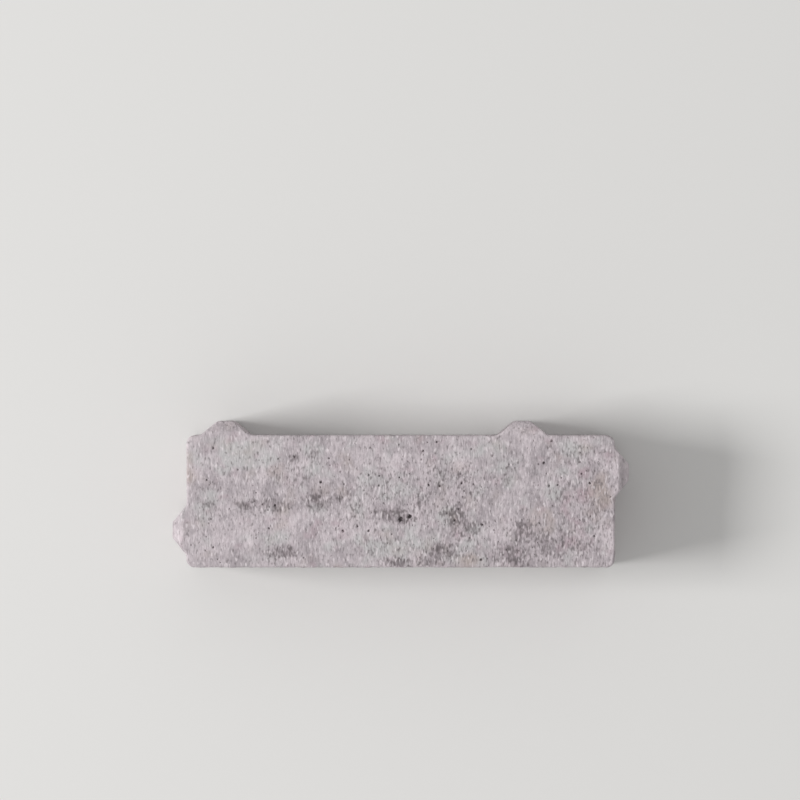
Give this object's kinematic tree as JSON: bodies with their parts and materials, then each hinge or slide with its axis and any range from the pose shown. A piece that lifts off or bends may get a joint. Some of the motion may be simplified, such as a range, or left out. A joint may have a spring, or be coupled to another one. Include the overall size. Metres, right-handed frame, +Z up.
{
  "type": "concrete paving stone",
  "caption": "Long rectangular concrete paving stone with a rounded arris and sloped spacer nibs on a long side and the ends.",
  "frame": {"origin": "middle of the bed face, under the plain rectangular body without its nibs", "axes": "+X along the stone, +Y towards the long side that has nibs, +Z up, away from the bed"},
  "size_m": [0.309, 0.0995, 0.08],
  "materials": {
    "pressed_concrete": "matte"
  },
  "bodies": {
    "root": {"paving_stone": "pressed_concrete"}
  },
  "joints": []
}
